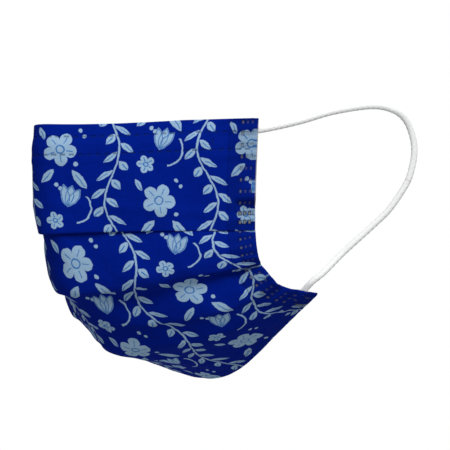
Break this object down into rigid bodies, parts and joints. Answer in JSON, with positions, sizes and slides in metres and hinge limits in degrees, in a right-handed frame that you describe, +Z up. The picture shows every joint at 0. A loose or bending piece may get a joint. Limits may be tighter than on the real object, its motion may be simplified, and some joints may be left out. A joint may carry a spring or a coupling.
{
  "type": "surgical face mask",
  "caption": "Pleated disposable face mask in its worn shape, with a printed outer layer, white lining, nose wire, folded side bands and round elastic ear loops.",
  "frame": {"origin": "the middle of the lining's top edge, where it sits on the bridge of the nose", "axes": "+Z up, the wearer faces -Y, +X to the wearer's left"},
  "size_m": [0.1839, 0.1261, 0.1157],
  "materials": {
    "printed_cloth": "matt nonwoven, printed in pale blue on royal blue",
    "lining_cloth": "matt white nonwoven",
    "band_cloth": "matt nonwoven, printed, welded in dots",
    "elastic": "knitted round elastic, white",
    "wire_coat": "plastic coated flat wire"
  },
  "bodies": {
    "root": {"outer_layer": "printed_cloth", "inner_layer": "lining_cloth", "nose_wire": "wire_coat", "side_band_left": "band_cloth", "side_band_right": "band_cloth", "ear_loop_left": "elastic", "ear_loop_right": "elastic"}
  },
  "joints": []
}
